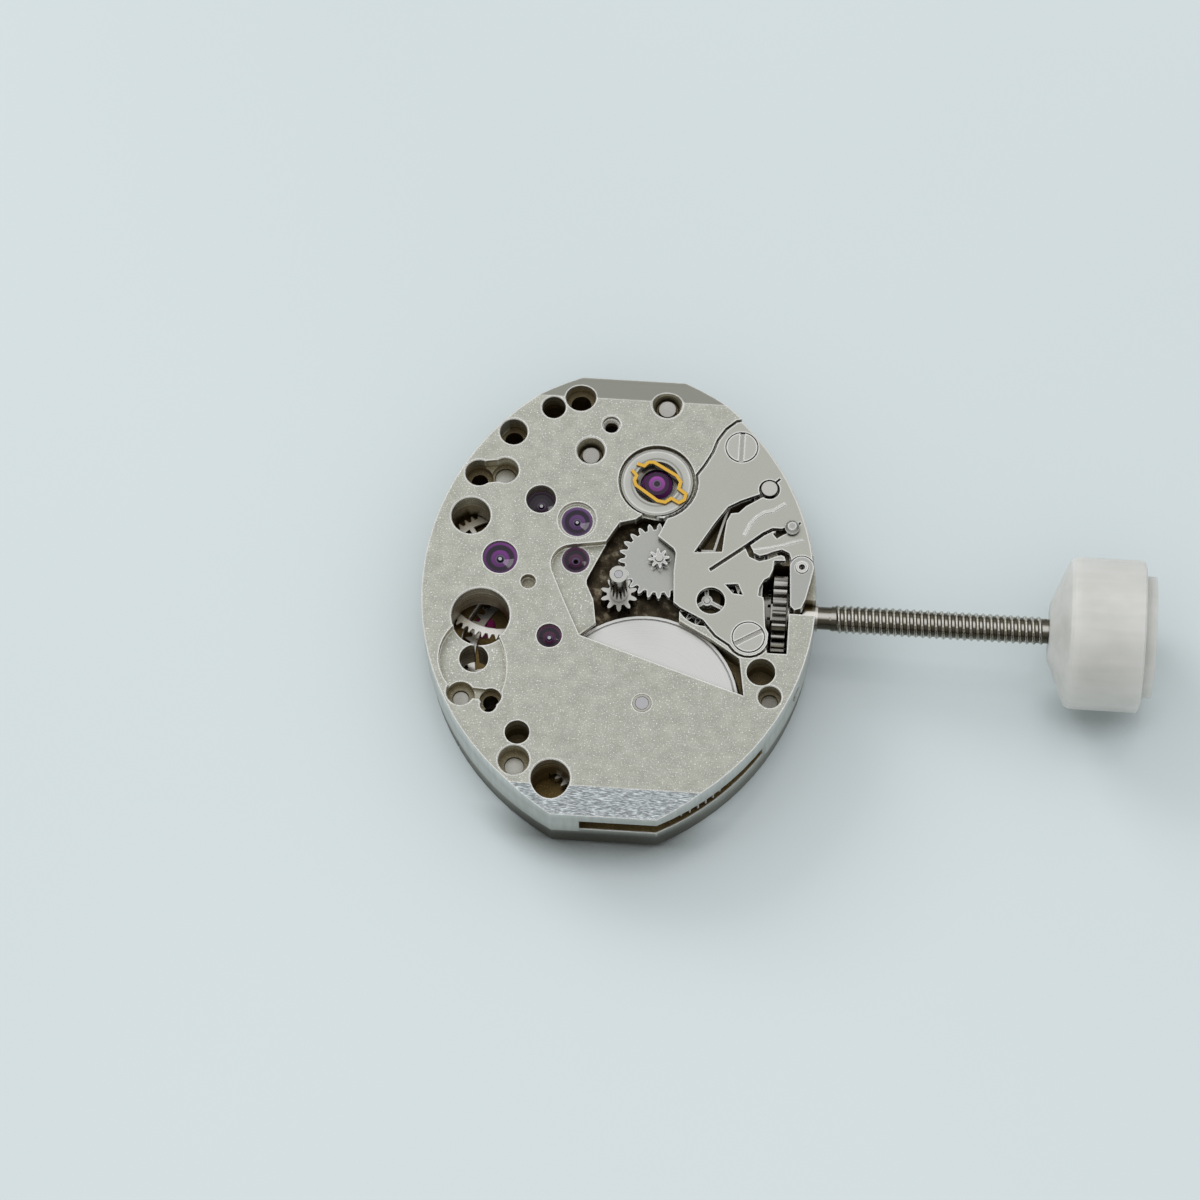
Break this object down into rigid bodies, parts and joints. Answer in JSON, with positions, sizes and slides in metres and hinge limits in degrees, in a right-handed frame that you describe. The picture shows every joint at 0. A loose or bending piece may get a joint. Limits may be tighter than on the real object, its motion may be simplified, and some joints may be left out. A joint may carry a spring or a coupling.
{
  "type": "hand-wound watch movement",
  "caption": "Small oval hand-wound watch movement seen from its dial side, with open keyless and motion work, a tall cannon pinion and a winding stem that ends in a plastic knob.",
  "frame": {"origin": "on the dial face of the main plate, at the axis of the cannon pinion", "axes": "+X along the winding stem towards its knob, +Y to 12 o'clock, +Z out of the dial side"},
  "size_m": [0.0237, 0.0152, 0.0052],
  "materials": {
    "plate_nickel": "nickel plated and frosted",
    "bridge_nickel": "nickel plated, fine satin",
    "cover_steel": "satin",
    "keyless_steel": "smooth satin",
    "bright_steel": "bright",
    "screw_steel": "polished",
    "train_brass": "gilt",
    "pinion_steel": "polished",
    "drum_metal": "nickel plated, satin",
    "spring_steel": "polished",
    "ruby_dark": "polished synthetic ruby",
    "ruby_pink": "polished synthetic ruby",
    "ruby_cap": "polished synthetic ruby",
    "gilt_spring": "bright gilt",
    "hair_blue": "tempered",
    "bush_brass": "plain",
    "knob_plastic": "translucent white"
  },
  "bodies": {
    "movement": {"main_plate": "plate_nickel", "barrel_bridge": "bridge_nickel", "train_bridge": "bridge_nickel", "balance_cock": "bridge_nickel", "pallet_bridge": "bridge_nickel", "bridge_screws": "screw_steel", "cover_plate": "cover_steel", "cover_screws": "screw_steel", "plate_jewels": "ruby_dark", "bridge_jewels": "ruby_pink", "centre_bushes": "bush_brass", "dial_shock_setting": "keyless_steel", "dial_shock_jewels": "ruby_cap", "dial_shock_spring": "gilt_spring", "cock_shock_setting": "keyless_steel", "cock_shock_jewels": "ruby_cap", "cock_shock_spring": "gilt_spring", "hairspring": "hair_blue", "hairspring_stud": "pinion_steel", "plate_pins": "bright_steel", "yoke_spring": "bright_steel", "click_spring": "spring_steel", "dial_foot_screws": "screw_steel", "setting_lever_stud": "screw_steel"},
    "barrel": {"barrel_drum": "drum_metal", "barrel_lid": "drum_metal", "mainspring": "spring_steel"},
    "barrel_arbor_group": {"barrel_arbor": "pinion_steel", "ratchet_wheel": "bright_steel", "ratchet_screw": "screw_steel"},
    "crown_wheel_body": {"crown_wheel": "bright_steel"},
    "winding_pinion_body": {"winding_pinion": "bright_steel"},
    "stem": {"winding_stem": "bright_steel", "winding_knob": "knob_plastic"},
    "sliding_pinion_body": {"sliding_pinion": "bright_steel"},
    "setting_lever_body": {"setting_lever": "keyless_steel"},
    "yoke_body": {"yoke": "keyless_steel"},
    "setting_wheel_body": {"setting_wheel": "keyless_steel"},
    "minute_wheel_body": {"minute_wheel": "keyless_steel"},
    "cannon_pinion_body": {"cannon_pinion": "bright_steel"},
    "centre_wheel_group": {"centre_wheel": "train_brass", "centre_pinion": "pinion_steel"},
    "third_wheel_group": {"third_wheel": "train_brass", "third_pinion": "pinion_steel"},
    "fourth_wheel_group": {"fourth_wheel": "train_brass", "fourth_pinion": "pinion_steel"},
    "escape_wheel_group": {"escape_wheel": "pinion_steel", "escape_pinion": "pinion_steel"},
    "pallet_group": {"pallet_fork": "pinion_steel", "pallet_arbor": "pinion_steel", "pallet_stones": "ruby_pink"},
    "balance_group": {"balance_wheel": "train_brass", "balance_staff": "pinion_steel", "roller": "pinion_steel", "impulse_jewel": "ruby_pink", "collet": "bush_brass"},
    "regulator_body": {"regulator": "keyless_steel"},
    "click_body": {"click": "pinion_steel"}
  },
  "joints": [
    {"name": "barrel_turn", "type": "hinge", "parent": "movement", "child": "barrel", "pos_m": [0.00099, -0.00381, -0.001], "axis": [0, 0, 1], "continuous": true},
    {"name": "centre_turn", "type": "hinge", "parent": "movement", "child": "centre_wheel_group", "pos_m": [0, 0, -0.0018], "axis": [0, 0, 1], "continuous": true},
    {"name": "third_turn", "type": "hinge", "parent": "movement", "child": "third_wheel_group", "pos_m": [-0.00214, -0.00168, -0.002], "axis": [0, 0, 1], "continuous": true},
    {"name": "fourth_turn", "type": "hinge", "parent": "movement", "child": "fourth_wheel_group", "pos_m": [-0.00392, 0.00094, -0.0016], "axis": [0, 0, 1], "continuous": true},
    {"name": "escape_turn", "type": "hinge", "parent": "movement", "child": "escape_wheel_group", "pos_m": [-0.00274, 0.00305, -0.0016], "axis": [0, 0, 1], "continuous": true},
    {"name": "cannon_turn", "type": "hinge", "parent": "movement", "child": "cannon_pinion_body", "pos_m": [0, 0, 0.0005], "axis": [0, 0, 1], "continuous": true},
    {"name": "minute_turn", "type": "hinge", "parent": "movement", "child": "minute_wheel_body", "pos_m": [0.00122, 0.00123, -0.0005], "axis": [0, 0, 1], "continuous": true},
    {"name": "setting_wheel_turn", "type": "hinge", "parent": "movement", "child": "setting_wheel_body", "pos_m": [0.00285, -0.00003, -0.0005], "axis": [0, 0, 1], "continuous": true},
    {"name": "winding_turn", "type": "hinge", "parent": "movement", "child": "winding_pinion_body", "pos_m": [0.0052, 0, -0.00135], "axis": [1, 0, 0], "continuous": true},
    {"name": "stem_pull", "type": "slide", "parent": "winding_pinion_body", "child": "stem", "axis": [1, 0, 0], "range_m": [0, 0.00045]},
    {"name": "sliding_pinion_shift", "type": "slide", "parent": "winding_pinion_body", "child": "sliding_pinion_body", "axis": [1, 0, 0], "range_m": [-0.00045, 0]},
    {"name": "setting_lever_turn", "type": "hinge", "parent": "movement", "child": "setting_lever_body", "pos_m": [0.00585, 0.00119, -0.00036], "axis": [0, 0, 1], "range_deg": [0, 21]},
    {"name": "yoke_turn", "type": "hinge", "parent": "movement", "child": "yoke_body", "pos_m": [0.00465, 0.00386, -0.00036], "axis": [0, 0, 1], "range_deg": [-6.7, 0]},
    {"name": "crown_wheel_turn", "type": "hinge", "parent": "movement", "child": "crown_wheel_body", "pos_m": [0.00372, -0.00089, -0.00267], "axis": [0, 0, 1], "continuous": true},
    {"name": "ratchet_turn", "type": "hinge", "parent": "movement", "child": "barrel_arbor_group", "pos_m": [0.00099, -0.00381, -0.002], "axis": [0, 0, 1], "continuous": true},
    {"name": "pallet_swing", "type": "hinge", "parent": "movement", "child": "pallet_group", "pos_m": [-0.00152, 0.00239, -0.0011], "axis": [0, 0, 1], "range_deg": [-5, 5]},
    {"name": "balance_swing", "type": "hinge", "parent": "movement", "child": "balance_group", "pos_m": [0.00098, 0.00392, -0.0016], "axis": [0, 0, 1], "range_deg": [-270, 270], "stiffness_Nm_per_rad": 0.000000006},
    {"name": "regulator_turn", "type": "hinge", "parent": "movement", "child": "regulator_body", "pos_m": [0.00098, 0.00392, -0.00286], "axis": [0, 0, 1], "range_deg": [-15, 15]},
    {"name": "click_lift", "type": "hinge", "parent": "movement", "child": "click_body", "pos_m": [-0.00192, -0.00487, -0.0027], "axis": [0, 0, 1], "range_deg": [0, 14]}
  ],
  "couplings": [
    {"joint": "centre_turn", "follows": "barrel_turn", "ratio": -6},
    {"joint": "third_turn", "follows": "barrel_turn", "ratio": 48},
    {"joint": "fourth_turn", "follows": "barrel_turn", "ratio": -360},
    {"joint": "escape_turn", "follows": "barrel_turn", "ratio": 3600},
    {"joint": "cannon_turn", "follows": "barrel_turn", "ratio": -6},
    {"joint": "minute_turn", "follows": "barrel_turn", "ratio": 2.5},
    {"joint": "setting_wheel_turn", "follows": "barrel_turn", "ratio": -3.75},
    {"joint": "crown_wheel_turn", "follows": "winding_turn", "ratio": 0.51282},
    {"joint": "ratchet_turn", "follows": "winding_turn", "ratio": -0.38461},
    {"joint": "sliding_pinion_shift", "follows": "stem_pull", "ratio": -1},
    {"joint": "setting_lever_turn", "follows": "stem_pull", "rad_per_m": 814.41},
    {"joint": "yoke_turn", "follows": "stem_pull", "rad_per_m": -259.83}
  ]
}
